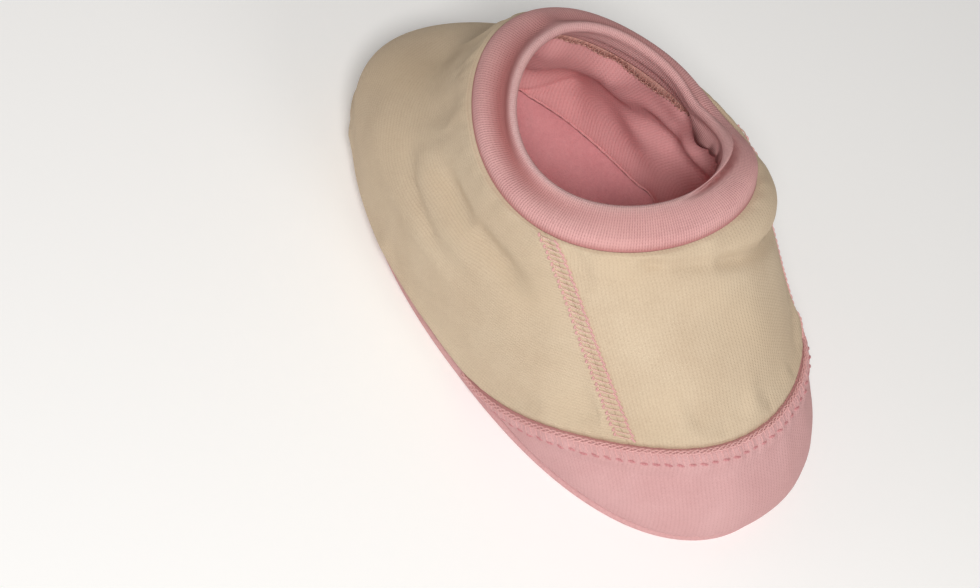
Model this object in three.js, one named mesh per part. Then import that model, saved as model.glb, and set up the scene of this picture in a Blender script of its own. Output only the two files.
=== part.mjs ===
// Baby bootie: a soft knitted slipper with a padded sole, a pink toe cap, a cream vamp and
// quarter, flatlocked side seams and a folded collar band. Millimetres, +Z up.
// The toe points to -Y, the heel to +Y, and the sole rests on Z = 0.
import * as THREE from 'three';
import { mergeVertices } from 'three/addons/utils/BufferGeometryUtils.js';

// ---------------------------------------------------------------- driving dimensions

const GAP = 0.3; // clearance between neighbouring pieces
const LAYER_GAP = 0.6; // clearance between curved layers that lie on each other

// Outline where the upper meets the sole.
const OUTLINE_LENGTH = 120;
const OUTLINE_WIDTH = 63.5;
const TOE_WIDENING = 0.07; // share by which the toe end is wider than the middle
const SIDE_POWER = 0.94; // below 1 the sides are squarer than an ellipse
const END_POWER = 0.88; // below 1 the toe and heel are blunter than an ellipse

// How the wall leaves the sole: how far it swells outwards, and how high that swell sits.
const SWELL_REACH = { toe: 12.5, side: 9.5, heel: 19 };
const SWELL_HEIGHT = { toe: 7, side: 11, heel: 16 };

// Ring where the collar band is sewn to the upper.
const COLLAR_SEAM_WIDTH = 56.5;
const COLLAR_SEAM_LENGTH = 63;
const COLLAR_SEAM_Y = 12;
const COLLAR_FRONT_WIDENING = 0.11;
const COLLAR_SEAM_HEIGHT = { toe: 57, side: 47.5, heel: 51 };

// How the wall arrives at the collar seam: how far outside and below it the wall still is.
const SHOULDER_REACH = 4;
const SHOULDER_DROP = { toe: 3.5, side: 7, heel: 17 };

// Rim where the collar band is folded inwards.
const RIM_WIDTH = 43.5;
const RIM_LENGTH = 44.5;
const RIM_Y = 11.5;
const RIM_HEIGHT = { toe: 60, side: 53.5, heel: 59 };
const BAND_BULGE = 1.2; // how far the band stands out between its seam and the rim
const BAND_TURN = 5; // length over which the wall's slope turns into the band's

// Seams: angles are taken round the foot from the toe, heights as a share of the wall.
const TOE_SEAM_HEIGHT = 0.435;
const TOE_SEAM_END_ANGLE = 1.63;
const TOE_SEAM_POWER = 3.4; // higher keeps the seam level for longer before it drops
const SIDE_SEAM_BOTTOM_ANGLE = 0.68;
const SIDE_SEAM_TOP_ANGLE = 1.18;

// Fabric and thread thicknesses.
const SHELL_THICKNESS = 1.2;
const LINING_THICKNESS = 1.2;
const ALLOWANCE_THICKNESS = 0.6;
const OVERLOCK_THICKNESS = 1;
const THREAD_THICKNESS = 0.8;

// Seam widths.
const SIDE_STITCH_WIDTH = 3.6;
const TOE_LOOP_ROW_WIDTH = 1.6;
const TOE_DASH_ROW_WIDTH = 0.9;
const TOE_ROW_SPACING = 3.2;
const TOE_ALLOWANCE_WIDTH = 5;
const COLLAR_OVERLOCK_WIDTH = 4;
const SOLE_OVERLOCK_WIDTH = 4;

// Sole layers.
const SOLE_THICKNESS = 1.6;
const SOLE_LIP = 1; // how far the sole stands out beyond the upper's edge
const WADDING_THICKNESS = 3;
const INSOLE_THICKNESS = 1.5;
const SOLE_EDGE_ROUND = 0.5; // rounding of the sole, wadding and insole edges
const INSOLE_STITCH_DIAMETER = 0.9;
const INSOLE_STITCH_INSET = 2; // from the edge of the insole

// Facets: divisions round the whole foot and up the wall.
const ROUND_STEPS = 48;
const WALL_STEPS = 12;
const VAMP_STEPS = ROUND_STEPS / 4;
const TOE_STEPS = ROUND_STEPS / 2;
const QUARTER_STEPS = (ROUND_STEPS * 3) / 4;
const STEP = 1e-3; // parameter step for slopes

// ---------------------------------------------------------------- sizes that follow

const SHELL = { outer: 0, inner: SHELL_THICKNESS };
const ALLOWANCE = layerInside(SHELL, ALLOWANCE_THICKNESS);
const LINING = layerInside(ALLOWANCE, LINING_THICKNESS);
const INNER_TRIM = layerInside(LINING, OVERLOCK_THICKNESS);
const OUTER_THREAD = { outer: -LAYER_GAP - THREAD_THICKNESS, inner: -LAYER_GAP };
const BAND_WALL = LINING.inner; // the folded band is as thick as the wall below it
const ABOVE_SOLE_Z = SOLE_THICKNESS + GAP;
const INSOLE_Z = ABOVE_SOLE_Z + WADDING_THICKNESS + GAP;
const INSOLE_INSET = LINING.inner + 2 * GAP;

// ---------------------------------------------------------------- materials

const CREAM_KNIT = { color: 0xcdbc9e, roughness: 0.95, metalness: 0 };
const PINK_KNIT = { color: 0xd6a8a6, roughness: 0.95, metalness: 0 };
const PINK_RIB = { color: 0xd79b9b, roughness: 0.95, metalness: 0 };
const ROSE_LINING = { color: 0xbe6e73, roughness: 1, metalness: 0 };
const PINK_THREAD = { color: 0xcd8c8c, roughness: 0.7, metalness: 0 };
const TAN_THREAD = { color: 0xaf7d5f, roughness: 0.8, metalness: 0 };
const WHITE_WADDING = { color: 0xeceae4, roughness: 1, metalness: 0 };

// ---------------------------------------------------------------- the bootie's surface

function layerInside(layer, thickness) {
  return { outer: layer.inner + LAYER_GAP, inner: layer.inner + LAYER_GAP + thickness };
}

// A value that is known at the toe, the side and the heel, smoothly carried round the foot.
function around(angle, { toe, side, heel }) {
  const ends = (toe + heel) / 2;
  return (ends + side) / 2 + ((toe - heel) / 2) * Math.cos(angle) + ((ends - side) / 2) * Math.cos(2 * angle);
}

function signedPower(value, power) {
  return Math.sign(value) * Math.abs(value) ** power;
}

// Outline of the upper at the sole, moved inwards by an inset (outwards when negative).
function outlinePoint(angle, inset = 0) {
  const at = (a) => new THREE.Vector2(
    (OUTLINE_WIDTH / 2) * (1 + TOE_WIDENING * Math.cos(a)) * signedPower(Math.sin(a), SIDE_POWER),
    -(OUTLINE_LENGTH / 2) * signedPower(Math.cos(a), END_POWER),
  );
  const along = at(angle + STEP).sub(at(angle - STEP)).normalize();
  return at(angle).add(new THREE.Vector2(-along.y, along.x).multiplyScalar(inset));
}

function collarSeamPoint(angle) {
  const widening = 1 + COLLAR_FRONT_WIDENING * Math.cos(angle);
  return new THREE.Vector3(
    (COLLAR_SEAM_WIDTH / 2) * Math.sin(angle) * widening,
    COLLAR_SEAM_Y - (COLLAR_SEAM_LENGTH / 2) * Math.cos(angle),
    around(angle, COLLAR_SEAM_HEIGHT),
  );
}

function rimPoint(angle) {
  return new THREE.Vector3(
    (RIM_WIDTH / 2) * Math.sin(angle),
    RIM_Y - (RIM_LENGTH / 2) * Math.cos(angle),
    around(angle, RIM_HEIGHT),
  );
}

// Outer face of the wall: height 0 at the sole edge, 1 at the collar seam.
function wallPoint(angle, height) {
  const foot = outlinePoint(angle);
  const swollen = outlinePoint(angle, -around(angle, SWELL_REACH));
  const top = collarSeamPoint(angle);
  const shoulder = new THREE.Vector3(
    top.x + SHOULDER_REACH * Math.sin(angle),
    top.y - SHOULDER_REACH * Math.cos(angle),
    top.z - around(angle, SHOULDER_DROP),
  );
  return new THREE.CubicBezierCurve3(
    new THREE.Vector3(foot.x, foot.y, ABOVE_SOLE_Z),
    new THREE.Vector3(swollen.x, swollen.y, around(angle, SWELL_HEIGHT)),
    shoulder,
    top,
  ).getPoint(height);
}

// Outer face of the band: rise 0 at its seam, 1 at the rim.
function bandPoint(angle, rise) {
  const bulge = 4 * rise * (1 - rise) * BAND_BULGE;
  const outwards = new THREE.Vector3(Math.sin(angle), -Math.cos(angle), 1).normalize();
  return collarSeamPoint(angle).lerp(rimPoint(angle), rise).addScaledVector(outwards, bulge);
}

function bandLength(angle) {
  return collarSeamPoint(angle).distanceTo(rimPoint(angle));
}

function outwardNormal(surface, angle, position) {
  const acrossStep = surface(angle + STEP, position).sub(surface(angle - STEP, position));
  const upStep = surface(angle, position + STEP).sub(surface(angle, position - STEP));
  return acrossStep.cross(upStep).normalize();
}

function wallLength(angle, height) {
  return wallPoint(angle, height + STEP).distanceTo(wallPoint(angle, height - STEP)) / (2 * STEP);
}

function turnedNormal(angle, height, rise, distanceAboveSeam) {
  const share = THREE.MathUtils.smoothstep(distanceAboveSeam, -BAND_TURN, BAND_TURN);
  const wall = outwardNormal(wallPoint, angle, height);
  return wall.lerp(outwardNormal(bandPoint, angle, rise), share).normalize();
}

// A point in the wall, at a depth below its outer face.
function wallLayerPoint(angle, height, depth) {
  const distance = (height - 1) * wallLength(angle, 1);
  const normal = turnedNormal(angle, height, 0, distance);
  return wallPoint(angle, height).addScaledVector(normal, -depth);
}

// A point in the folded band, at a distance above its seam and a depth below its outer face.
function bandLayerPoint(angle, distance, depth) {
  const rise = distance / bandLength(angle);
  const normal = turnedNormal(angle, 1, rise, distance);
  return bandPoint(angle, rise).addScaledVector(normal, -depth);
}

// Turns a length on the wall into a step of angle or of height there.
function angleFor(length, angle, height) {
  const speed = wallPoint(angle + STEP, height).distanceTo(wallPoint(angle - STEP, height)) / (2 * STEP);
  return length / speed;
}

function heightFor(length, angle, height) {
  return length / wallLength(angle, height);
}

// Height of the toe seam at an angle: level over the toe, then down to the sole.
function toeSeamHeight(angle) {
  const share = Math.min(Math.abs(angle) / TOE_SEAM_END_ANGLE, 1);
  return TOE_SEAM_HEIGHT * (1 - share ** TOE_SEAM_POWER);
}

// ---------------------------------------------------------------- solids

// A closed solid from rows of points; a row may join its own ends, and so may the rows.
function solidFromGrid(grid, { closeRows, closeGrid, capEnds }) {
  const rowLength = grid[0].length;
  const positions = grid.flat().flatMap((p) => [p.x, p.y, p.z]);
  const index = [];
  const at = (row, column) => (row % grid.length) * rowLength + (column % rowLength);
  for (let row = 0; row < grid.length - (closeGrid ? 0 : 1); row += 1) {
    for (let column = 0; column < rowLength - (closeRows ? 0 : 1); column += 1) {
      const corners = [at(row, column), at(row, column + 1), at(row + 1, column + 1), at(row + 1, column)];
      index.push(corners[0], corners[1], corners[2], corners[0], corners[2], corners[3]);
    }
  }
  if (capEnds) {
    addCap(index, 0, rowLength, false);
    addCap(index, grid.length - 1, rowLength, true);
  }
  const geometry = new THREE.BufferGeometry();
  geometry.setAttribute('position', new THREE.Float32BufferAttribute(positions, 3));
  geometry.setIndex(signedVolume(positions, index) < 0 ? index.reverse() : index);
  geometry.computeVertexNormals();
  return geometry;
}

// Closes the end of a flat, ladder-shaped row whose second half runs back along the first.
function addCap(index, row, rowLength, reversed) {
  const start = row * rowLength;
  for (let low = 0, high = rowLength - 1; high - low > 1; low += 1, high -= 1) {
    const [a, b, c, d] = [start + low, start + high, start + high - 1, start + low + 1];
    const faces = [a, b, c, a, c, d];
    index.push(...(reversed ? faces.reverse() : faces));
  }
}

function signedVolume(positions, index) {
  const corner = (i) => new THREE.Vector3().fromArray(positions, 3 * i);
  let volume = 0;
  for (let i = 0; i < index.length; i += 3) {
    volume += corner(index[i]).dot(corner(index[i + 1]).cross(corner(index[i + 2])));
  }
  return volume;
}

// A panel of fabric: columns run up the wall, from its bottom edge to its top edge.
function panelGeometry(columns, rows, place, layer) {
  const grid = [];
  for (let i = 0; i <= columns; i += 1) {
    const outer = [];
    const inner = [];
    for (let j = 0; j <= rows; j += 1) {
      const { angle, height } = place(i / columns, j / rows);
      outer.push(wallLayerPoint(angle, height, layer.outer));
      inner.unshift(wallLayerPoint(angle, height, layer.inner));
    }
    grid.push([...outer, ...inner]);
  }
  return solidFromGrid(grid, { closeRows: true, closeGrid: false, capEnds: true });
}

// A ring round the whole foot, with the same closed section at every angle.
function ringGeometry(sectionAt) {
  const grid = [];
  for (let i = 0; i < ROUND_STEPS; i += 1) {
    grid.push(sectionAt((2 * Math.PI * i) / ROUND_STEPS));
  }
  return solidFromGrid(grid, { closeRows: true, closeGrid: true, capEnds: false });
}

// A flat layer of the sole with rounded edges.
function soleLayerGeometry(inset, bottom, thickness) {
  const outline = [];
  for (let i = 0; i < ROUND_STEPS; i += 1) {
    outline.push(outlinePoint((2 * Math.PI * i) / ROUND_STEPS, inset + SOLE_EDGE_ROUND));
  }
  const layer = new THREE.ExtrudeGeometry(new THREE.Shape(outline), {
    depth: thickness - 2 * SOLE_EDGE_ROUND,
    bevelThickness: SOLE_EDGE_ROUND,
    bevelSize: SOLE_EDGE_ROUND,
    bevelSegments: 2,
  });
  layer.translate(0, 0, bottom + SOLE_EDGE_ROUND);
  layer.deleteAttribute('normal');
  layer.deleteAttribute('uv');
  const merged = mergeVertices(layer);
  merged.computeVertexNormals();
  return merged;
}

// ---------------------------------------------------------------- panel places

// A panel above the toe seam, between two positions counted along the side seams.
function panelAboveToeSeam(bottomFrom, bottomTo, topFrom, topTo) {
  return (across, up) => {
    const bottomAngle = THREE.MathUtils.lerp(bottomFrom, bottomTo, across);
    const topAngle = THREE.MathUtils.lerp(topFrom, topTo, across);
    const wrapped = Math.min(bottomAngle, 2 * Math.PI - bottomAngle);
    const seam = toeSeamHeight(wrapped);
    const bottom = seam + heightFor(GAP / 2, bottomAngle, seam);
    const top = 1 - heightFor(GAP / 2, topAngle, 1);
    return {
      angle: THREE.MathUtils.lerp(bottomAngle, topAngle, up),
      height: THREE.MathUtils.lerp(bottom, top, up),
    };
  };
}

// Half the clearance at the side seam, as angles at its two ends.
function sideSeamClearance() {
  return {
    bottom: angleFor(GAP / 2, SIDE_SEAM_BOTTOM_ANGLE, TOE_SEAM_HEIGHT),
    top: angleFor(GAP / 2, SIDE_SEAM_TOP_ANGLE, 1),
  };
}

function vampPlace() {
  const { bottom, top } = sideSeamClearance();
  const bottomAngle = SIDE_SEAM_BOTTOM_ANGLE - bottom;
  const topAngle = SIDE_SEAM_TOP_ANGLE - top;
  return panelAboveToeSeam(-bottomAngle, bottomAngle, -topAngle, topAngle);
}

function quarterPlace() {
  const { bottom, top } = sideSeamClearance();
  const bottomAngle = SIDE_SEAM_BOTTOM_ANGLE + bottom;
  const topAngle = SIDE_SEAM_TOP_ANGLE + top;
  return panelAboveToeSeam(bottomAngle, 2 * Math.PI - bottomAngle, topAngle, 2 * Math.PI - topAngle);
}

// The angle at which the toe seam has come down to a length above the sole.
function toeSeamAngle(length) {
  const share = heightFor(length, TOE_SEAM_END_ANGLE, 0) / TOE_SEAM_HEIGHT;
  return TOE_SEAM_END_ANGLE * (1 - share) ** (1 / TOE_SEAM_POWER);
}

// The toe cap ends where it has become about as narrow as its fabric is thick.
function toeCapPlace(across, up) {
  const end = toeSeamAngle(SHELL_THICKNESS + GAP);
  const angle = THREE.MathUtils.lerp(-end, end, across);
  const seam = toeSeamHeight(angle);
  return { angle, height: (seam - heightFor(GAP / 2, angle, seam)) * up };
}

// A strip that follows the toe seam, between two distances below it. It ends where its
// lower edge has come down to what lies along the sole.
function toeStripPlace(fromBelow, toBelow, widthAtSole) {
  return (across, up) => {
    const end = toeSeamAngle(toBelow + widthAtSole + GAP);
    const angle = THREE.MathUtils.lerp(-end, end, across);
    const seam = toeSeamHeight(angle);
    const below = THREE.MathUtils.lerp(toBelow, fromBelow, up);
    return { angle, height: seam - heightFor(below, angle, seam) };
  };
}

// Angle of the side seam at a height; below the toe seam it keeps the angle it has there.
function sideSeamAngle(height) {
  const lowest = toeSeamHeight(SIDE_SEAM_BOTTOM_ANGLE);
  const share = Math.max((height - lowest) / (1 - lowest), 0);
  return THREE.MathUtils.lerp(SIDE_SEAM_BOTTOM_ANGLE, SIDE_SEAM_TOP_ANGLE, share);
}

// The strip of stitching over a side seam; side is 1 on +X and -1 on -X.
function sideStitchPlace(side) {
  const lowest = toeSeamHeight(SIDE_SEAM_BOTTOM_ANGLE);
  const bottom = lowest + heightFor(TOE_LOOP_ROW_WIDTH / 2 + GAP, SIDE_SEAM_BOTTOM_ANGLE, lowest);
  const top = 1 - heightFor(THREAD_THICKNESS + GAP, SIDE_SEAM_TOP_ANGLE, 1);
  return (across, up) => {
    const height = THREE.MathUtils.lerp(bottom, top, up);
    const seam = sideSeamAngle(height);
    const shift = angleFor((across - 0.5) * SIDE_STITCH_WIDTH, seam, height);
    return { angle: side * (seam + shift), height };
  };
}

// The lining is cut at the same side seams, which run straight on down to the sole.
function liningPlace(fromSide, toSide) {
  return (across, up) => {
    const seam = sideSeamAngle(up);
    const gap = angleFor(LAYER_GAP / 2, seam, up);
    const angle = THREE.MathUtils.lerp(fromSide(seam, gap), toSide(seam, gap), across);
    return { angle, height: up * (1 - heightFor(GAP / 2, angle, 1)) };
  };
}

// ---------------------------------------------------------------- pieces

const bootie = new THREE.Group();

function addPiece(name, geometry, look) {
  const mesh = new THREE.Mesh(geometry, new THREE.MeshStandardMaterial(look));
  mesh.name = name;
  bootie.add(mesh);
}

function addSole() {
  addPiece('sole_outer', soleLayerGeometry(-SOLE_LIP, 0, SOLE_THICKNESS), PINK_KNIT);
  addPiece('sole_wadding', soleLayerGeometry(INSOLE_INSET, ABOVE_SOLE_Z, WADDING_THICKNESS), WHITE_WADDING);
  addPiece('insole', soleLayerGeometry(INSOLE_INSET, INSOLE_Z, INSOLE_THICKNESS), ROSE_LINING);
  addPiece('insole_edge_stitching', insoleStitchGeometry(), PINK_THREAD);
  const overlockTop = (angle) => heightFor(SOLE_OVERLOCK_WIDTH, angle, 0);
  addPiece('sole_seam_overlock', wallRingGeometry(() => 0, overlockTop, ALLOWANCE), PINK_THREAD);
}

// The round of stitches that closes the edge of the insole.
function insoleStitchGeometry() {
  const sides = 6;
  const radius = INSOLE_STITCH_DIAMETER / 2;
  const centreZ = INSOLE_Z + INSOLE_THICKNESS + GAP + radius;
  return ringGeometry((angle) => {
    const section = [];
    for (let i = 0; i < sides; i += 1) {
      const turn = (2 * Math.PI * i) / sides;
      const inset = INSOLE_INSET + INSOLE_STITCH_INSET + radius * Math.cos(turn);
      const point = outlinePoint(angle, inset);
      section.push(new THREE.Vector3(point.x, point.y, centreZ + radius * Math.sin(turn)));
    }
    return section;
  });
}

// A band of trim that runs round the wall in one layer, between two heights at each angle.
function wallRingGeometry(bottomAt, topAt, layer) {
  const steps = 3;
  return ringGeometry((angle) => {
    const outer = [];
    const inner = [];
    for (let i = 0; i <= steps; i += 1) {
      const height = THREE.MathUtils.lerp(bottomAt(angle), topAt(angle), i / steps);
      outer.push(wallLayerPoint(angle, height, layer.outer));
      inner.unshift(wallLayerPoint(angle, height, layer.inner));
    }
    return [...outer, ...inner];
  });
}

function addToe() {
  addPiece('toe_cap', panelGeometry(TOE_STEPS, WALL_STEPS / 2, toeCapPlace, SHELL), PINK_KNIT);
  const allowance = toeStripPlace(GAP, TOE_ALLOWANCE_WIDTH, SOLE_OVERLOCK_WIDTH);
  addPiece('toe_seam_allowance', panelGeometry(TOE_STEPS, 1, allowance, ALLOWANCE), PINK_KNIT);
  const halfLoop = TOE_LOOP_ROW_WIDTH / 2;
  const loops = toeStripPlace(-halfLoop, halfLoop, SOLE_LIP);
  addPiece('toe_seam_loop_row', panelGeometry(TOE_STEPS, 1, loops, OUTER_THREAD), PINK_THREAD);
  const halfDash = TOE_DASH_ROW_WIDTH / 2;
  const dashes = toeStripPlace(TOE_ROW_SPACING - halfDash, TOE_ROW_SPACING + halfDash, SOLE_LIP);
  addPiece('toe_seam_dash_row', panelGeometry(TOE_STEPS, 1, dashes, OUTER_THREAD), PINK_THREAD);
}

function addUpper() {
  addPiece('vamp_panel', panelGeometry(VAMP_STEPS, WALL_STEPS, vampPlace(), SHELL), CREAM_KNIT);
  const quarter = panelGeometry(QUARTER_STEPS, WALL_STEPS, quarterPlace(), SHELL);
  addPiece('quarter_panel', quarter, CREAM_KNIT);
  for (const [name, side] of [['left', -1], ['right', 1]]) {
    const stitches = panelGeometry(1, WALL_STEPS, sideStitchPlace(side), OUTER_THREAD);
    addPiece(`side_seam_stitching_${name}`, stitches, PINK_THREAD);
  }
}

function addLining() {
  const vamp = liningPlace((seam, gap) => gap - seam, (seam, gap) => seam - gap);
  const quarter = liningPlace((seam, gap) => seam + gap, (seam, gap) => 2 * Math.PI - seam - gap);
  addPiece('vamp_lining', panelGeometry(VAMP_STEPS, WALL_STEPS, vamp, LINING), ROSE_LINING);
  addPiece('quarter_lining', panelGeometry(QUARTER_STEPS, WALL_STEPS, quarter, LINING), ROSE_LINING);
}

// The band is folded double: an outer leaf, the fold at the rim, and an inner leaf.
function bandSection(angle) {
  const leafSteps = 3;
  const foldSteps = 4;
  const radius = BAND_WALL / 2;
  const start = GAP / 2;
  const foldStart = bandLength(angle) - radius;
  const leaf = (depth, end) => {
    const points = [];
    for (let i = 0; i < leafSteps; i += 1) {
      points.push([start + ((end - start) * i) / leafSteps, depth]);
    }
    return points;
  };
  const section = leaf(0, foldStart);
  for (let i = 0; i <= foldSteps; i += 1) {
    const turn = (Math.PI * i) / foldSteps;
    section.push([foldStart + radius * Math.sin(turn), radius * (1 - Math.cos(turn))]);
  }
  section.push(...leaf(BAND_WALL, foldStart).reverse());
  section.push(...leaf(BAND_WALL - LINING_THICKNESS, foldStart), [foldStart, BAND_WALL - LINING_THICKNESS]);
  section.push([foldStart, SHELL_THICKNESS], ...leaf(SHELL_THICKNESS, foldStart).reverse());
  return section.map(([distance, depth]) => bandLayerPoint(angle, distance, depth));
}

function addCollar() {
  addPiece('collar_band', ringGeometry(bandSection), PINK_RIB);
  const top = (angle) => 1 - heightFor(GAP, angle, 1);
  const bottom = (angle) => top(angle) - heightFor(COLLAR_OVERLOCK_WIDTH, angle, 1);
  addPiece('collar_seam_overlock', wallRingGeometry(bottom, top, INNER_TRIM), TAN_THREAD);
}

addSole();
addToe();
addUpper();
addLining();
addCollar();

// The origin sits under the middle of the bootie.
bootie.position.y = -new THREE.Box3().setFromObject(bootie).getCenter(new THREE.Vector3()).y;

export default bootie;
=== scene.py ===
"""Looks of the baby bootie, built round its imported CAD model.

The soft pieces follow the same surface as the CAD solids. It is described by an angle round
the foot (0 at the toe, pi at the heel, positive towards +X) and a height up the wall (0 at the
sole, 1 at the collar seam). Lengths are in millimetres until a mesh is made.
"""

import math

import bmesh
import bpy
import numpy as np
from mathutils import Matrix, Vector


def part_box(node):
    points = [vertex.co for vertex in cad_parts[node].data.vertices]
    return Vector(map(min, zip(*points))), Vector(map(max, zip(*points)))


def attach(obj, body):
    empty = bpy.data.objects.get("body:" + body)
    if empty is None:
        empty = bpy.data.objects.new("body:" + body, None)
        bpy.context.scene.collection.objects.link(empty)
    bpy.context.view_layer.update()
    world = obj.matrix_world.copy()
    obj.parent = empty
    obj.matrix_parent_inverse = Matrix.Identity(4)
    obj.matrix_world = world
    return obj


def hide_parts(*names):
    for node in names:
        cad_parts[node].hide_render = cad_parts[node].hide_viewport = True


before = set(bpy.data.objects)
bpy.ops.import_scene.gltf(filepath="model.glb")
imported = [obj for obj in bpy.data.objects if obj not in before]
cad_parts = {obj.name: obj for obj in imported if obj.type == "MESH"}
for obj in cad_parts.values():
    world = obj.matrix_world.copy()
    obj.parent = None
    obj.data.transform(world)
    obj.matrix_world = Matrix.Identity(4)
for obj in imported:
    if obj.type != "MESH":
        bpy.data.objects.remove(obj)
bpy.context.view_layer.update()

MM = 0.001

# ---- sizes, as in the CAD model

OUTLINE_LENGTH, OUTLINE_WIDTH = 120.0, 63.5
TOE_WIDENING, SIDE_POWER, END_POWER = 0.07, 0.94, 0.88
SWELL_REACH = (12.5, 9.5, 19.0)  # at the toe, the side and the heel
SWELL_HEIGHT = (7.0, 11.0, 16.0)
COLLAR_SEAM_WIDTH, COLLAR_SEAM_LENGTH, COLLAR_SEAM_Y = 56.5, 63.0, 12.0
COLLAR_FRONT_WIDENING = 0.11
COLLAR_SEAM_HEIGHT = (57.0, 47.5, 51.0)
SHOULDER_REACH = 4.0
SHOULDER_DROP = (3.5, 7.0, 17.0)
RIM_WIDTH, RIM_LENGTH, RIM_Y = 43.5, 44.5, 11.5
RIM_HEIGHT = (60.0, 53.5, 59.0)
BAND_TURN = 5.0
TOE_SEAM_HEIGHT, TOE_SEAM_END_ANGLE, TOE_SEAM_POWER = 0.435, 1.63, 3.4
SIDE_SEAM_BOTTOM_ANGLE, SIDE_SEAM_TOP_ANGLE = 0.68, 1.18
SHELL_THICKNESS, LINING_DEPTH, WALL_THICKNESS = 1.2, 3.0, 4.2
SOLE_THICKNESS, SOLE_LIP = 1.6, 1.0
INSOLE_TOP, INSOLE_INSET = 6.7, 4.8
TOE_ROW_SPACING = 3.2
SIDE_STITCH_WIDTH = 3.6
SEAM_GAP = 0.03  # half the clearance between neighbouring panels

sole_low, sole_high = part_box("sole_outer")
SHIFT_Y = (sole_low[1] + sole_high[1]) / 2 / MM  # the outline's middle in the frame
STEP = 1e-3


# ---- the bootie's surface

def around(angle, values):
    """A value known at the toe, the side and the heel, carried smoothly round the foot."""
    toe, side, heel = values
    ends = (toe + heel) / 2
    return (ends + side) / 2 + (toe - heel) / 2 * np.cos(angle) + (ends - side) / 2 * np.cos(2 * angle)


def signed_power(value, power):
    return np.sign(value) * np.abs(value) ** power


def stack(x, y, z):
    x, y, z = np.broadcast_arrays(x, y, z)
    return np.stack([x, y, z], -1)


def norm(vector):
    return np.linalg.norm(vector, axis=-1)


def unit(vector):
    return vector / np.maximum(norm(vector)[..., None], 1e-9)


def full_turn(count):
    """Evenly spaced angles all the way round, from 0 up to the one before 2 pi."""
    return np.linspace(0, 2 * np.pi, count, endpoint=False)


def outline(angle, inset=0.0):
    """Outline of the upper at the sole, moved inwards by an inset."""
    def at(a):
        x = OUTLINE_WIDTH / 2 * (1 + TOE_WIDENING * np.cos(a)) * signed_power(np.sin(a), SIDE_POWER)
        return stack(x, -OUTLINE_LENGTH / 2 * signed_power(np.cos(a), END_POWER), 0.0)[..., :2]

    along = unit(at(angle + STEP) - at(angle - STEP))
    inwards = np.stack([-along[..., 1], along[..., 0]], -1)
    return at(angle) + inwards * np.asarray(inset)[..., None]


def collar_seam_point(angle):
    x = COLLAR_SEAM_WIDTH / 2 * np.sin(angle) * (1 + COLLAR_FRONT_WIDENING * np.cos(angle))
    y = COLLAR_SEAM_Y - COLLAR_SEAM_LENGTH / 2 * np.cos(angle)
    return stack(x, y, around(angle, COLLAR_SEAM_HEIGHT))


def rim_point(angle):
    y = RIM_Y - RIM_LENGTH / 2 * np.cos(angle)
    return stack(RIM_WIDTH / 2 * np.sin(angle), y, around(angle, RIM_HEIGHT))


def wall_base(angle, height):
    """Outer face of the wall before any fold or puff."""
    foot = outline(angle)
    swollen = outline(angle, -around(angle, SWELL_REACH))
    top = collar_seam_point(angle)
    outwards = stack(np.sin(angle), -np.cos(angle), 0.0)
    points = [
        stack(foot[..., 0], foot[..., 1], SOLE_THICKNESS + 0.3),
        stack(swollen[..., 0], swollen[..., 1], around(angle, SWELL_HEIGHT)),
        top + outwards * SHOULDER_REACH - stack(0.0, 0.0, around(angle, SHOULDER_DROP)),
        top,
    ]
    h = np.asarray(height)[..., None]
    shares = ((1 - h) ** 3, 3 * h * (1 - h) ** 2, 3 * h * h * (1 - h), h ** 3)
    return sum(share * point for share, point in zip(shares, points))


def band_base(angle, rise):
    """Outer face of the collar band: rise 0 at its seam, 1 at the rim."""
    r = np.asarray(rise)[..., None]
    return collar_seam_point(angle) * (1 - r) + rim_point(angle) * r


def normal_of(surface, angle, position):
    across = surface(angle + STEP, position) - surface(angle - STEP, position)
    up = surface(angle, position + STEP) - surface(angle, position - STEP)
    return unit(np.cross(across, up))


def smooth(value, low, high):
    t = np.clip((value - low) / (high - low), 0, 1)
    return t * t * (3 - 2 * t)


def wall_speed(angle, height):
    """Millimetres of wall for each unit of height."""
    moved = wall_base(angle, height + STEP) - wall_base(angle, height - STEP)
    return norm(moved) / (2 * STEP)


def angle_speed(angle, height):
    """Millimetres round the wall for each radian."""
    moved = wall_base(angle + STEP, height) - wall_base(angle - STEP, height)
    return norm(moved) / (2 * STEP)


def band_length(angle):
    return norm(rim_point(angle) - collar_seam_point(angle))


def turned_normal(angle, height, rise, distance):
    """Normal that turns from the wall's to the band's over a short length about the seam."""
    share = smooth(distance, -BAND_TURN, BAND_TURN)[..., None]
    wall = normal_of(wall_base, angle, height)
    return unit(wall * (1 - share) + normal_of(band_base, angle, rise) * share)


def wrap(angle):
    return (angle + np.pi) % (2 * np.pi) - np.pi


def toe_seam(angle):
    """Height of the toe seam."""
    share = np.minimum(np.abs(wrap(angle)) / TOE_SEAM_END_ANGLE, 1)
    return TOE_SEAM_HEIGHT * (1 - share ** TOE_SEAM_POWER)


def side_seam(height):
    """Angle of the side seam."""
    lowest = toe_seam(SIDE_SEAM_BOTTOM_ANGLE)
    share = np.maximum((height - lowest) / (1 - lowest), 0)
    return SIDE_SEAM_BOTTOM_ANGLE + (SIDE_SEAM_TOP_ANGLE - SIDE_SEAM_BOTTOM_ANGLE) * share


# ---- soft shape of the fabric

def bump(distance, width):
    """A smooth hill, 1 in the middle and nearly 0 beyond twice its width."""
    return np.exp(-(distance / width) ** 2)


def patch(angle, height, centre, size):
    """A soft round patch on the wall, at (angle, height) and as wide and tall as size says."""
    across = wrap(angle - centre[0]) / size[0]
    return np.exp(-across ** 2 - ((height - centre[1]) / size[1]) ** 2)


ARC, RISE = 34.0, 58.0  # typical millimetres for a radian round the wall and a unit of height


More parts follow.
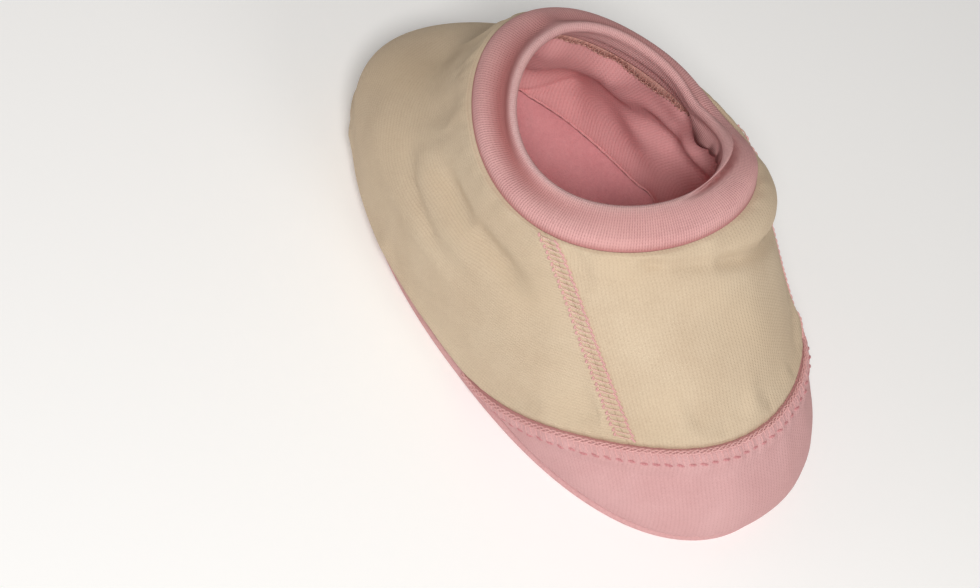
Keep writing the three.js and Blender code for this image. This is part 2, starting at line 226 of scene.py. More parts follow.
def fold(angle, height, start, end, width):
    """A ridge from start to end on the wall, fading out at both; width is in millimetres."""
    scale = np.array([ARC, RISE])
    middle = (start[0] + end[0]) / 2
    a = np.array([start[0] - middle, start[1]]) * scale
    b = np.array([end[0] - middle, end[1]]) * scale
    point = np.stack(np.broadcast_arrays(wrap(angle - middle) * scale[0], height * scale[1]), -1)
    length = norm(b - a)
    direction = (b - a) / length
    along = (point - a) @ direction
    aside = (point - a) @ np.array([-direction[1], direction[0]])
    ends = smooth(along, -0.15 * length, 0.25 * length) * smooth(-along, -1.15 * length, -0.75 * length)
    return bump(aside, width) * ends


SOLE_TUCK = 0.2  # how far the wall is drawn in where it meets the sole

# Broad folds: start and end as (angle, height), width and rise in millimetres.
FOLDS = [
    ((-2.05, 0.73), (-1.25, 0.69), 3.2, -2.6),
    ((-2.15, 0.64), (-1.50, 0.60), 2.6, 1.2),
    ((-2.25, 0.62), (-1.68, 0.53), 1.3, -1.0),
    ((-2.60, 0.50), (-1.60, 0.50), 4.5, 1.6),
    ((-3.15, 0.60), (-2.20, 0.77), 5.0, -2.0),
    ((-1.30, 0.55), (-0.95, 0.75), 4.0, -0.6),
    ((1.25, 0.70), (1.95, 0.74), 3.4, -1.5),
    ((1.45, 0.60), (2.20, 0.62), 3.0, 0.8),
    ((2.15, 0.78), (3.00, 0.62), 4.6, -1.5),
    ((-0.62, 0.93), (0.10, 0.83), 1.5, -1.1),
    ((-0.05, 0.85), (0.80, 0.72), 1.6, -2.2),
    ((0.30, 0.62), (-0.45, 0.55), 4.0, 0.5),
    ((-0.55, 0.78), (0.05, 0.66), 3.5, -0.5),
]

# Puffs and hollows: centre and size as (angle, height), and rise in millimetres.
PUFFS = [
    ((0.50, 0.87), (0.50, 0.09), 3.6),
    ((-0.35, 0.95), (0.40, 0.05), 0.6),
    ((-2.45, 0.45), (0.50, 0.20), 1.6),
    ((-2.85, 0.42), (0.38, 0.20), 2.4),
    ((-3.10, 0.64), (0.45, 0.14), -2.4),
    ((2.60, 0.42), (0.50, 0.18), 1.2),
    ((0.55, 0.20), (0.35, 0.16), 1.0),
    ((1.10, 0.50), (0.35, 0.22), -1.2),
    ((-0.15, 0.14), (0.35, 0.12), -0.7),
    ((-2.50, 0.93), (0.70, 0.06), 1.2),
    ((-1.60, 0.92), (0.40, 0.08), 0.8),
    ((2.40, 0.92), (0.60, 0.07), 0.9),
]


def waviness(angle, height, seed, size):
    """Slow, random-looking unevenness of hand-sewn fabric, between about -1 and 1."""
    random = np.random.default_rng(seed)
    total = 0.0
    for _ in range(7):
        turns = random.integers(1, size)
        rise = random.uniform(-size, size) * 0.8
        phase = random.uniform(0, 2 * np.pi)
        total = total + np.sin(turns * angle + rise * height + phase)
    return total / 4


UNEVENNESS = 0.22  # of the whole upper
TOE_RIDGE = 0.75  # how far the pink side of the toe seam stands out
TOE_PLUMPNESS = 0.6
PUCKER_PITCH, PUCKER_RISE = 2.4, 0.16  # small gathers along the toe seam
TOE_ARC = 31.0  # millimetres for a radian along the toe seam
DRAPE_COLUMNS, DRAPE_ROWS = 240, 46
DRAPE_FRAMES = 28
DRAPE_LIMIT = 1.2  # how far the simulated fabric may stand away from the sewn shape
DRAPE_SCALE = 10.0  # the simulation runs on an enlarged copy, where Cloth is steadier
drape = np.zeros((DRAPE_COLUMNS + 1, DRAPE_ROWS))


def drape_at(angle, height):
    """The simulated drape at a place on the wall, in millimetres along its normal."""
    column = (angle % (2 * np.pi)) / (2 * np.pi) * DRAPE_COLUMNS
    row = np.clip(height, 0, 1) * (DRAPE_ROWS - 1)
    i = np.minimum(column.astype(int), DRAPE_COLUMNS - 1)
    j = np.minimum(row.astype(int), DRAPE_ROWS - 2)
    u = column - i
    v = row - j
    low = drape[i, j] * (1 - u) + drape[i + 1, j] * u
    high = drape[i, j + 1] * (1 - u) + drape[i + 1, j + 1] * u
    return low * (1 - v) + high * v


def wall_rise(angle, height):
    """How far the fabric stands out from the plain wall."""
    rise = UNEVENNESS * waviness(angle, height, 3, 9)
    rise = rise * smooth(height, 0.0, 0.2) * smooth(-height, -1.0, -0.85)
    for start, end, width, amount in FOLDS:
        rise = rise + amount * fold(angle, height, start, end, width)
    for centre, size, amount in PUFFS:
        rise = rise + amount * patch(angle, height, centre, size)
    below = (toe_seam(angle) - height) * RISE  # millimetres below the toe seam
    on_toe = smooth(toe_seam(angle), 0.0, 0.12)
    rise = rise + on_toe * TOE_RIDGE * smooth(below, -0.2, 0.7) * smooth(-below, -4.6, -2.4)
    pucker = np.cos(2 * np.pi * angle * TOE_ARC / PUCKER_PITCH + 1.5 * np.sin(9 * angle))
    rise = rise + on_toe * PUCKER_RISE * pucker * bump(below - 1.8, 1.3)
    rise = rise + on_toe * TOE_PLUMPNESS * smooth(below, 4.0, 11.0) * smooth(height, 0.05, 0.14)
    calm = smooth(height, 0.02, 0.28) * (1 - 0.75 * smooth(toe_seam(angle) - height, -0.03, 0.05))
    rise = (rise + calm * drape_at(angle, height)) * smooth(height, 0.0, 0.10) * smooth(-height, -1.0, -0.93)
    return rise - SOLE_TUCK * bump(height, 0.07)


def wall_point(angle, height, depth=0.0):
    """A point in the finished wall, at a depth below its outer face."""
    angle, height = np.broadcast_arrays(np.asarray(angle, float), np.asarray(height, float))
    distance = (height - 1) * wall_speed(angle, np.ones_like(height))
    normal = turned_normal(angle, height, np.zeros_like(height), distance)
    return wall_base(angle, height) + normal * (wall_rise(angle, height) - depth)[..., None]


# Hollows and puffs of the collar band: centre and size as (angle, share of its width), and rise.
BAND_PUFFS = [
    ((-2.2, 0.66), (0.9, 0.20), -2.5),
    ((2.2, 0.66), (0.9, 0.20), -2.0),
    ((3.14, 0.6), (0.5, 0.4), -0.8),
    ((3.05, 0.60), (0.14, 0.25), 0.9),
    ((0.55, 0.40), (0.42, 0.26), 1.6),
    ((1.30, 0.6), (0.36, 0.6), -2.6),
]


def buckle(angle, share):
    """How deep the collar's buckle is, from 0 to 1: a crease that runs slantwise to the rim."""
    turn = wrap(angle)
    reach = smooth(turn, -0.25, 0.35) * smooth(-turn, -1.5, -1.2)
    crease = 0.92 - 0.36 * smooth(turn, 0.1, 1.4)
    return reach * bump(share - crease, 0.055), reach * smooth(share - crease, 0.0, 0.12)


def band_rise(angle, distance):
    """How far the collar band stands out between its seam and the rim."""
    share = np.clip(distance / band_length(angle), 0, 1.2)
    rise = 1.0 * smooth(share, 0.0, 0.30) * smooth(-share, -1.15, -0.60)
    rise = rise + 0.2 * waviness(angle, share, 11, 6) * share
    for centre, size, amount in BAND_PUFFS:
        rise = rise + amount * patch(angle, share, centre, size)
    # At the buckle the band is creased, and beyond the crease it stands out.
    crease, beyond = buckle(angle, share)
    return rise - 3.1 * crease + 0.9 * beyond


def band_point(angle, distance, depth=0.0):
    """A point in the collar band, at a distance above its seam and a depth below its outer face."""
    angle, distance = np.broadcast_arrays(np.asarray(angle, float), np.asarray(distance, float))
    rise = distance / band_length(angle)
    normal = turned_normal(angle, np.ones_like(rise), rise, distance)
    return band_base(angle, rise) + normal * (band_rise(angle, distance) - depth)[..., None]


# ---- meshes

def new_object(name, vertices, faces, uv=None, join=None, fuzz_and_painted_light=None):
    """A smooth mesh from points in millimetres.

    uv gives each vertex its place on the cloth. The last argument holds fuzz and painted light: it
    is positive where the colour is painted paler, as brushed-up fuzz and as painted sheen, and
    negative where painted shade darkens a crease or hollow. A ring of cloth carries uv on over
    the join of its last points and first: join gives the ring's length and how many points its
    section has.
    """
    mesh = bpy.data.meshes.new(name)
    placed = (np.asarray(vertices, float) + [0.0, SHIFT_Y, 0.0]) * MM
    mesh.from_pydata(placed.tolist(), [], faces)
    if uv is not None:
        layer = mesh.uv_layers.new(name="cloth")
        corner = np.empty(len(mesh.loops), dtype=np.int32)
        mesh.loops.foreach_get("vertex_index", corner)
        places = np.array(uv, dtype=np.float32)[corner]
        if join is not None:
            length, section_size = join
            over = np.zeros(len(corner), dtype=bool)
            over[-4 * section_size:] = corner[-4 * section_size:] < section_size
            places[over, 0] += length
        layer.data.foreach_set("uv", places.ravel())
    fuzz_and_light_layer = mesh.attributes.new("fuzz_and_painted_light", "FLOAT", "POINT")
    if fuzz_and_painted_light is not None:
        fuzz_and_light_layer.data.foreach_set("value", np.asarray(fuzz_and_painted_light, dtype=np.float32).ravel())
    mesh.polygons.foreach_set("use_smooth", [True] * len(mesh.polygons))
    mesh.update()
    turn_outwards(mesh)
    return add_object(name, mesh)


def add_object(name, data):
    """A new object in the scene, of a mesh, a light or a camera."""
    item = bpy.data.objects.new(name, data)
    bpy.context.scene.collection.objects.link(item)
    return item


def turn_outwards(mesh):
    """Flips the faces of a closed mesh whose volume comes out negative."""
    solid = bmesh.new()
    solid.from_mesh(mesh)
    inside_out = solid.calc_volume(signed=True) < 0
    solid.free()
    if inside_out:
        mesh.flip_normals()
        mesh.update()


def grid_faces(rows, columns, close_rows, close_columns):
    """Quads between neighbouring points of a grid, joined round either way if closed."""
    faces = []
    for i in range(rows if close_rows else rows - 1):
        for j in range(columns if close_columns else columns - 1):
            k, m = (i + 1) % rows, (j + 1) % columns
            faces.append((i * columns + j, i * columns + m, k * columns + m, k * columns + j))
    return faces


ROLL, SIDE_ROLL = 0.8, 0.12  # length over which an edge rolls, and depth at a panel's sides


def panel(name, columns, rows, place, outer=0.0, inner=SHELL_THICKNESS, roll=0.6, crease_shade=0.0):
    """A closed panel of fabric. place gives (angle, height) for shares across and up the panel.

    outer and inner are depths below the wall's face. Its edges roll inwards, as they do along a
    sewn seam: by roll at the top and bottom and by SIDE_ROLL at the sides. The last argument says
    how much painted shade darkens the colour along the top and bottom edges, in the seam's crease.
    """
    across, up = np.meshgrid(ends_close(columns), ends_close(rows), indexing="ij")
    angle, height = place(across, up)
    face = wall_point(angle, height, outer)
    uv = cloth_lengths(face)
    sides, ends = edge_distances(face)
    rolled = roll * np.exp(-(ends / ROLL) ** 1.5) + SIDE_ROLL * np.exp(-(sides / ROLL) ** 1.5)
    front = wall_point(angle, height, outer + rolled)
    back = wall_point(angle, height, np.full_like(angle, inner) + 0.3 * rolled)
    # Painted shade: the colour darkens along the top and bottom edges, in the seam's crease.
    fuzz_and_painted_light = -crease_shade * bump(ends, ROLL)
    return closed_sheet(name, front, back, uv, fuzz_and_painted_light)


def ends_close(count):
    """Shares from 0 to 1 that lie closer together near both ends."""
    even = np.linspace(0, 1, count)
    return even - 0.12 * np.sin(2 * np.pi * even)


def lengths_along(face):
    """Lengths along the cloth to each point, from the first column and from the first row."""
    across = np.zeros(face.shape[:2])
    across[1:] = np.cumsum(norm(np.diff(face, axis=0)), 0)
    up = np.zeros(face.shape[:2])
    up[:, 1:] = np.cumsum(norm(np.diff(face, axis=1)), 1)
    return across, up


def cloth_lengths(face):
    """Place of each point on the flat cloth, measured from the middle column and the top row."""
    across, up = lengths_along(face)
    return np.stack([across - across[len(face) // 2], up - up[:, -1:]], -1)


def edge_distances(face):
    """Distance of each point from the sides and from the ends of its panel, along the cloth."""
    across, up = lengths_along(face)
    return np.minimum(across, across[-1:] - across), np.minimum(up, up[:, -1:] - up)


def closed_sheet(name, front, back, uv, fuzz_and_painted_light=None):
    """A closed solid between a front and a back grid of points."""
    columns, rows = front.shape[:2]
    ring = np.concatenate([front, back[:, ::-1]], axis=1)
    ring_uv = np.concatenate([uv, uv[:, ::-1]], axis=1)
    faces = grid_faces(columns, 2 * rows, False, True)
    for column, backwards in ((0, False), (columns - 1, True)):
        start = column * 2 * rows
        for j in range(rows - 1):
            quad = (start + j, start + 2 * rows - 1 - j, start + 2 * rows - 2 - j, start + j + 1)
            faces.append(quad[::-1] if backwards else quad)
    if fuzz_and_painted_light is not None:
        fuzz_and_painted_light = np.concatenate([fuzz_and_painted_light, fuzz_and_painted_light[:, ::-1]], axis=1)
    return new_object(name, ring.reshape(-1, 3), faces, ring_uv.reshape(-1, 2), fuzz_and_painted_light=fuzz_and_painted_light)


def ring_mesh(name, sections, cloth, pitch, fuzz_and_painted_light=None):
    """A closed ring from sections, an array of angle by section point by x, y, z.

    cloth gives each section point's place along the section. Round the ring, the cloth's length
    is made a whole number of knit columns of the given pitch.
    """
    first = sections[:, 0]
    step = norm(np.roll(first, -1, axis=0) - first)
    reached = np.concatenate([[0], np.cumsum(step)])
    length = round(reached[-1] / pitch) * pitch
    across = np.repeat(reached[:-1, None] * length / reached[-1], sections.shape[1], 1)
    uv = np.stack([across, np.broadcast_to(cloth, across.shape)], -1)
    faces = grid_faces(*sections.shape[:2], True, True)
    join = (length, sections.shape[1])
    return new_object(name, sections.reshape(-1, 3), faces, uv.reshape(-1, 2), join, fuzz_and_painted_light)


def tubes(name, paths, radius, sides=5):
    """Threads: a round, capped tube along each path."""
    turn = full_turn(sides)[:, None]
    vertices, faces, uv = [], [], []
    for path in paths:
        path = np.asarray(path, float)
        count = len(path)
        base = len(vertices)
        along = unit(np.gradient(path, axis=0))
        helper = np.array([0.0, 0.0, 1.0]) if abs(along[0][2]) < 0.9 else np.array([1.0, 0.0, 0.0])
        side = unit(np.cross(along, helper))
        up = np.cross(side, along)
        taper = np.ones((count, 1, 1))
        taper[0] = taper[-1] = 0.45
        offset = side[:, None] * np.cos(turn) + up[:, None] * np.sin(turn)
        vertices.extend((path[:, None] + offset * radius * taper).reshape(-1, 3))
        lengths = np.concatenate([[0], np.cumsum(norm(np.diff(path, axis=0)))])
        uv.extend((k / sides, length) for length in lengths for k in range(sides))
        rings = grid_faces(count, sides, False, True)
        caps = [tuple(reversed(range(sides))), tuple(range((count - 1) * sides, count * sides))]
        faces.extend(tuple(base + corner for corner in face) for face in rings + caps)
    return new_object(name, vertices, faces, uv)


def dress(piece, node, material):
    """Gives a piece its material, puts it under the root body and hides the CAD part it stands for."""
    piece.data.materials.append(material)
    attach(piece, "root")
    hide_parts(node)
    return piece


def sew(name, paths, radius, node, material, sides=5):
    """Stitches of a seam, as threads along their paths."""
    return dress(tubes(name, paths, radius, sides), node, material)


# ---- drape of the upper

CLOTH_SETTINGS = {
    "quality": 7,
    "mass": 0.25,
    "tension_stiffness": 20,
    "compression_stiffness": 20,
    "shear_stiffness": 8,
    "bending_stiffness": 8,
    "shrink_min": -0.02,
    "use_pressure": True,
    "uniform_pressure_force": 1.2,
}
DRAPE_GRAVITY = 0.35  # as a share of full gravity


def simulate_drape():
    """Lets the upper settle as cloth between its seams, and keeps how far it moved.

    The upper is a closed ring of cloth, held at the sole and the collar seam and, less firmly,
    along the toe seam. The cloth is a little larger than its shape, so it settles in soft folds.
    """
    angle = full_turn(DRAPE_COLUMNS)
    angle, height = np.meshgrid(angle, np.linspace(0, 1, DRAPE_ROWS), indexing="ij")
    start = wall_point(angle, height)
    mesh = bpy.data.meshes.new("drape")
    faces = grid_faces(DRAPE_COLUMNS, DRAPE_ROWS, True, False)
    mesh.from_pydata((start * MM * DRAPE_SCALE).reshape(-1, 3).tolist(), [], faces)
    cloth_object = add_object("drape", mesh)
    scene = bpy.context.scene

    held = np.maximum(bump(height, 0.03), bump(height - 1, 0.03))
    held = np.maximum(held, 0.85 * bump((height - toe_seam(angle)) * RISE, 2.0))
    group = cloth_object.vertex_groups.new(name="held")
    for index, weight in enumerate(held.ravel()):
        group.add([index], float(weight), "REPLACE")
    cloth = cloth_object.modifiers.new("cloth", "CLOTH")
    for name, value in CLOTH_SETTINGS.items():
        setattr(cloth.settings, name, value)
    cloth.settings.vertex_group_mass = "held"
    cloth.settings.effector_weights.gravity = DRAPE_GRAVITY
    cloth.point_cache.frame_end = DRAPE_FRAMES
    for frame_number in range(1, DRAPE_FRAMES + 1):
        scene.frame_set(frame_number)
    settled = cloth_object.evaluated_get(bpy.context.evaluated_depsgraph_get()).to_mesh()
    places = np.empty(len(settled.vertices) * 3)
    settled.vertices.foreach_get("co", places)
    moved = places.reshape(start.shape) / (MM * DRAPE_SCALE) - start
    normal = normal_of(wall_base, angle, height)
    offset = (moved * normal).sum(-1)
    offset = DRAPE_LIMIT * np.tanh(offset / DRAPE_LIMIT)
    bpy.data.objects.remove(cloth_object)
    scene.frame_set(1)
    return np.concatenate([offset, offset[:1]])


# ---- materials

CREAM = ((0.680, 0.552, 0.405), (0.570, 0.440, 0.312))  # light and dark of each cloth
PINK = ((0.690, 0.412, 0.415), (0.600, 0.330, 0.330))
RIB_PINK = ((0.790, 0.450, 0.445), (0.585, 0.290, 0.290))
# ROSE and FLEECE are partly the cloth's own colour and partly painted light: they are raised above it so the
# hollow inside the bootie looks brighter.
ROSE = ((0.920, 0.465, 0.475), (0.820, 0.365, 0.375))
FLEECE = ((0.920, 0.440, 0.465), (0.780, 0.320, 0.345))
THREAD_PINK = ((0.780, 0.460, 0.450), (0.680, 0.360, 0.355))
THREAD_PALE = ((0.760, 0.530, 0.450), (0.660, 0.420, 0.350))
THREAD_DEEP = ((0.640, 0.300, 0.310), (0.540, 0.220, 0.235))
THREAD_TAN = ((0.760, 0.430, 0.370), (0.600, 0.310, 0.270))
WADDING = ((0.850, 0.840, 0.800), (0.760, 0.750, 0.700))


class Nodes:
    """A small helper that adds shader nodes and links their inputs."""

    def __init__(self, name):
        self.material = bpy.data.materials.new(name)
        self.material.use_nodes = True
        self.tree = self.material.node_tree
        self.shader = self.tree.nodes["Principled BSDF"]

    def add(self, kind, inputs=(), **settings):
        node = self.tree.nodes.new("ShaderNode" + kind)
        for key, value in settings.items():
            setattr(node, key, value)
        for key, value in dict(inputs).items():
            self.set(node.inputs[key], value)
        return node

    def set(self, socket, value):
        if isinstance(value, bpy.types.NodeSocket):
            self.tree.links.new(value, socket)
        else:
            socket.default_value = value

    def math(self, operation, a, b=0.0):
        return self.add("Math", {0: a, 1: b}, operation=operation).outputs[0]

    def plus(self, a, b):
        return self.math("ADD", a, b)

    def minus(self, a, b):
        return self.math("SUBTRACT", a, b)

    def times(self, a, b):
        return self.math("MULTIPLY", a, b)

    def weighted(self, total, *terms):
        """total plus each value times its weight."""
        for value, weight in terms:
            total = self.plus(total, self.times(value, weight))
        return total

    def cosine(self, turns):
        return self.math("COSINE", self.times(turns, 2 * math.pi))

    def noise(self, vector, scale, detail=2.0, roughness=0.5):
        inputs = {"Vector": vector, "Scale": scale, "Detail": detail, "Roughness": roughness}
        return self.add("TexNoise", inputs)

    def mix(self, share, a, b):
        node = self.add("Mix", data_type="RGBA")
        self.set(node.inputs[0], share)
        self.set(node.inputs[6], a)
        self.set(node.inputs[7], b)
        return node.outputs[2]

    def millimetres(self):
        """Place in the object, in millimetres."""
        place = self.add("TexCoord").outputs["Object"]
        return self.add("VectorMath", {0: place, 1: (1 / MM,) * 3}, operation="MULTIPLY").outputs[0]

    def cloth(self, wobble):
        """Place on the flat cloth in millimetres, wandering a little as knitted rows do."""
        place = self.add("UVMap", uv_map="cloth").outputs[0]
        noise = self.noise(self.millimetres(), 0.12).outputs["Color"]
        centred = self.add("VectorMath", {0: noise, 1: (0.5, 0.5, 0.5)}, operation="SUBTRACT").outputs[0]
        scaled = self.add("VectorMath", {0: centred, "Scale": wobble}, operation="SCALE").outputs[0]
        moved = self.add("VectorMath", {0: place, 1: scaled}, operation="ADD").outputs[0]
        parts = self.add("SeparateXYZ", {0: moved})
        return parts.outputs[0], parts.outputs[1]


def colour(rgb):
    return (*rgb, 1.0)


def finish_cloth(nodes, tones, height, contrast, depth, roughness, sheen, stains=0.1):
    """Colour, bump and sheen that all the cloths share, from a height between 0 and 1."""
    place = nodes.millimetres()
    fibres = nodes.noise(place, 2.6, 3.0, 0.65).outputs[0]
    patches = nodes.noise(place, 0.07, 3.0, 0.55).outputs[0]
    # Painted shade in part: the relief height darkens the colour in the grooves between stitches and
    # lightens their tops, by contrast; the fibre and patch noise give the yarn's own random tone.
    middle = 0.6 - 0.5 * (contrast + 1.3 + 1.6)
    share = nodes.weighted(middle, (height, contrast), (fibres, 1.3), (patches, 1.6))
    share = nodes.add("Clamp", {0: share}).outputs[0]
    base = nodes.mix(share, colour(tones[1]), colour(tones[0]))
    clouds = nodes.noise(place, 0.035, 2.0).outputs[0]
    age = nodes.add("MapRange", {0: clouds, 1: 0.5, 2: 0.75, 3: 0.0, 4: stains})
    yellowed = (tones[1][0] * 0.95, tones[1][1] * 0.86, tones[1][2] * 0.72)
    base = nodes.mix(age.outputs[0], base, colour(yellowed))
    # Where the fuzz and painted light value is positive, fibre flecks are painted paler: brushed fuzz, and
    # painted sheen where the rim catches the light.
    fuzz_and_painted_light = nodes.add("Attribute", attribute_name="fuzz_and_painted_light").outputs["Fac"]
    pale = [min(1.0, 0.55 * c + 0.38) for c in tones[0]]
    fuzz_and_sheen = nodes.times(nodes.math("MAXIMUM", fuzz_and_painted_light, 0.0), nodes.plus(fibres, -0.1))
    base = nodes.mix(fuzz_and_sheen, base, colour(pale))
    # Where it is negative, the colour is darkened to a deeper tone: painted shade in creases and hollows.
    shade_tone = (tones[1][0] * 0.78, tones[1][1] * 0.60, tones[1][2] * 0.58)
    base = nodes.mix(nodes.math("MAXIMUM", nodes.times(fuzz_and_painted_light, -1.0), 0.0), base, colour(shade_tone))
    nodes.set(nodes.shader.inputs["Base Color"], base)
    relief = nodes.weighted(height, (fibres, 0.7))
    bump_node = nodes.add("Bump", {"Height": relief, "Strength": 0.8, "Distance": depth * MM})
    nodes.set(nodes.shader.inputs["Normal"], bump_node.outputs[0])
    constants = {
        "Roughness": roughness,
        "Specular IOR Level": 0.18,
        "Sheen Weight": sheen,
        "Sheen Roughness": 0.45,
        "Sheen Tint": colour([min(1.0, c * 1.25) for c in tones[0]]),
    }
    for name, value in constants.items():
        nodes.shader.inputs[name].default_value = value
    return nodes.material


def knit(name, tones, wale, course, contrast=0.55, depth=0.08, sheen=0.12, turned=False, ribs=0.20):
    """Fine weft knit: columns of V-shaped stitches, wale wide and course tall.

    The columns run up the piece or, when turned, across it. ribs says how far they stand out.
    """
    nodes = Nodes(name)
    x, y = nodes.cloth(0.5)
    if turned:
        x, y = y, x
    across = nodes.minus(nodes.math("FRACT", nodes.math("DIVIDE", x, wale)), 0.5)
    legs = nodes.cosine(nodes.times(across, 2.0))
    slant = nodes.times(nodes.math("ABSOLUTE", across), 1.4)
    stitches = nodes.cosine(nodes.plus(nodes.math("DIVIDE", y, course), slant))
    column = nodes.cosine(across)
    height = nodes.weighted(0.5, (column, ribs), (legs, -0.08), (stitches, 0.20))
    return finish_cloth(nodes, tones, height, contrast, depth, 0.92, sheen, 0.25)


def brushed(name, tones, depth=0.22):
    """Brushed fleece: short soft nap in small tufts."""
    nodes = Nodes(name)
    place = nodes.millimetres()
    tufts = nodes.noise(place, 0.9, 4.0, 0.6).outputs[0]
    nap = nodes.noise(place, 3.5, 2.0, 0.6).outputs[0]
    height = nodes.plus(nodes.times(tufts, 0.7), nodes.times(nap, 0.3))
    return finish_cloth(nodes, tones, height, 1.3, depth, 0.97, 0.35)


def thread(name, tones, ply=0.55):
    """Sewing thread: two plies twisted round each other."""
    nodes = Nodes(name)
    place = nodes.add("UVMap", uv_map="cloth").outputs[0]
    parts = nodes.add("SeparateXYZ", {0: place})
    twist = nodes.plus(parts.outputs[0], nodes.math("DIVIDE", parts.outputs[1], ply))
    height = nodes.weighted(0.5, (nodes.cosine(twist), 0.4))
    return finish_cloth(nodes, tones, height, 0.8, 0.06, 0.6, 0.3)


# ---- places of the panels

def above_toe_seam(bottom_from, bottom_to, top_from, top_to):
    def place(across, up):
        bottom_angle = bottom_from + (bottom_to - bottom_from) * across
        top_angle = top_from + (top_to - top_from) * across
        seam = toe_seam(bottom_angle)
        bottom = seam + SEAM_GAP / wall_speed(bottom_angle, seam)
        top = 1 - SEAM_GAP / wall_speed(top_angle, np.ones_like(top_angle))
        return bottom_angle + (top_angle - bottom_angle) * up, bottom + (top - bottom) * up
    return place


def vamp_place():
    bottom, top = side_seam_ends(-SEAM_GAP)
    return above_toe_seam(-bottom, bottom, -top, top)


def quarter_place():
    bottom, top = side_seam_ends(SEAM_GAP)
    return above_toe_seam(bottom, 2 * np.pi - bottom, top, 2 * np.pi - top)


def side_seam_ends(beside):
    """Angles of the side seam's two ends, moved round the foot by a length beside it."""
    bottom = beside / angle_speed(np.array(SIDE_SEAM_BOTTOM_ANGLE), toe_seam(SIDE_SEAM_BOTTOM_ANGLE))
    top = beside / angle_speed(np.array(SIDE_SEAM_TOP_ANGLE), np.array(1.0))
    return SIDE_SEAM_BOTTOM_ANGLE + float(bottom), SIDE_SEAM_TOP_ANGLE + float(top)


def toe_seam_angle(length):
    """The angle at which the toe seam has come down to a length above the sole."""
    share = length / float(wall_speed(np.array(TOE_SEAM_END_ANGLE), np.array(0.0))) / TOE_SEAM_HEIGHT
    return TOE_SEAM_END_ANGLE * (1 - share) ** (1 / TOE_SEAM_POWER)


TOE_CAP_TIP = 0.3  # height of the toe cap's two ends above the sole


def toe_cap_place(across, up):
    end = toe_seam_angle(TOE_CAP_TIP)
    angle = -end + 2 * end * across
    seam = toe_seam(angle)
    return angle, (seam - SEAM_GAP / wall_speed(angle, seam)) * up


ALLOWANCE_TOP, ALLOWANCE_FOOT = 0.3, 5.0  # lengths below the toe seam
ALLOWANCE_TIP = 9.0  # height of the toe seam at the allowance's two ends


def toe_allowance_place(across, up):
    end = toe_seam_angle(ALLOWANCE_TIP + 2 * SEAM_GAP)
    angle = -end + 2 * end * across
    seam = toe_seam(angle)
    below = ALLOWANCE_FOOT + (ALLOWANCE_TOP - ALLOWANCE_FOOT) * up
    return angle, seam - below / wall_speed(angle, seam)


def lining_place(from_side, to_side):
    def place(across, up):
        seam = side_seam(up)
        start = from_side(seam)
        angle = start + (to_side(seam) - start) * across
        return angle, up * (1 - SEAM_GAP / wall_speed(angle, np.ones_like(angle)))
    return place


# ---- cloth pieces

INSOLE_EDGE_HEIGHT = (0.10, 0.20, 0.16)  # height up the wall at the toe, the side and the heel
INSOLE_THICKNESS, INSOLE_BOTTOM = 1.5, 5.15
INSOLE_STITCHES = 120  # round its edge

# Folds of the lining: start and end as (angle, height), width and rise in millimetres.
LINING_FOLDS = [
    ((2.38, 0.68), (2.12, 0.24), 3.2, -1.6),
    ((2.28, 0.95), (1.68, 0.36), 4.6, 2.5),
    ((1.66, 1.02), (1.42, 0.60), 8.0, 1.8),
    ((1.98, 0.57), (1.38, 0.53), 2.6, -1.4),
    ((2.65, 1.00), (2.58, 0.45), 5.0, 1.8),
    ((2.43, 0.15), (2.22, 0.45), 0.8, -1.0),
    ((1.10, 0.95), (0.80, 0.45), 6.0, 0.9),
    ((-2.95, 0.90), (-2.60, 0.30), 5.0, 1.6),
    ((-2.00, 0.90), (-1.50, 0.30), 5.0, 1.4),
    ((-0.60, 0.80), (0.40, 0.55), 5.0, 1.6),
    ((3.00, 0.20), (1.10, 0.20), 11.0, 3.6),
    ((-3.00, 0.20), (-1.10, 0.20), 11.0, 2.5),
]


def lining_swell(angle, height):
    """How far the lining swells into the bootie in soft folds."""
    swell = 0.8 * (1 + waviness(angle, height, 23, 5))
    for start, end, width, amount in LINING_FOLDS:
        swell = swell + amount * fold(angle, height, start, end, width)
    return swell * smooth(height, 0.06, 0.18) * smooth(-height, -0.97, -0.8)


def add_lining(materials):
    gap = SEAM_GAP / 25
    vamp = lining_place(lambda seam: gap - seam, lambda seam: seam - gap)
    quarter = lining_place(lambda seam: seam + gap, lambda seam: 2 * np.pi - seam - gap)
    for name, columns, place in (("vamp_lining", 90, vamp), ("quarter_lining", 280, quarter)):
        across, up = np.meshgrid(np.linspace(0, 1, columns), np.linspace(0, 1, 60), indexing="ij")
        angle, height = place(across, up)
        front = wall_point(angle, height, LINING_DEPTH)
        back = wall_point(angle, height, WALL_THICKNESS + lining_swell(angle, height))
        piece = closed_sheet(name + "_soft", front, back, cloth_lengths(back))
        dress(piece, name, materials["lining"])


def add_upper(materials):
    vamp = panel("vamp_soft", 130, 84, vamp_place())
    dress(vamp, "vamp_panel", materials["vamp"])
    quarter = panel("quarter_soft", 340, 92, quarter_place())
    dress(quarter, "quarter_panel", materials["quarter"])
    # The toe cap's edges get painted shade along their seams.
    toe = panel("toe_cap_soft", 440, 70, toe_cap_place, roll=0.5, crease_shade=0.7)
    dress(toe, "toe_cap", materials["toe"])
    allowance = panel("toe_allowance_soft", 120, 5, toe_allowance_place, 1.8, 2.4, roll=0.1)
    dress(allowance, "toe_seam_allowance", materials["toe"])


RIM_RADIUS = 1.1  # of the soft fold along the collar's rim
RIM_DEPTH = 0.3  # how far the fold stands back from the band's outer face
RIB = 0.58  # pitch of the collar's ribs
BAND_JOIN = np.pi  # the band's ends are joined at the heel


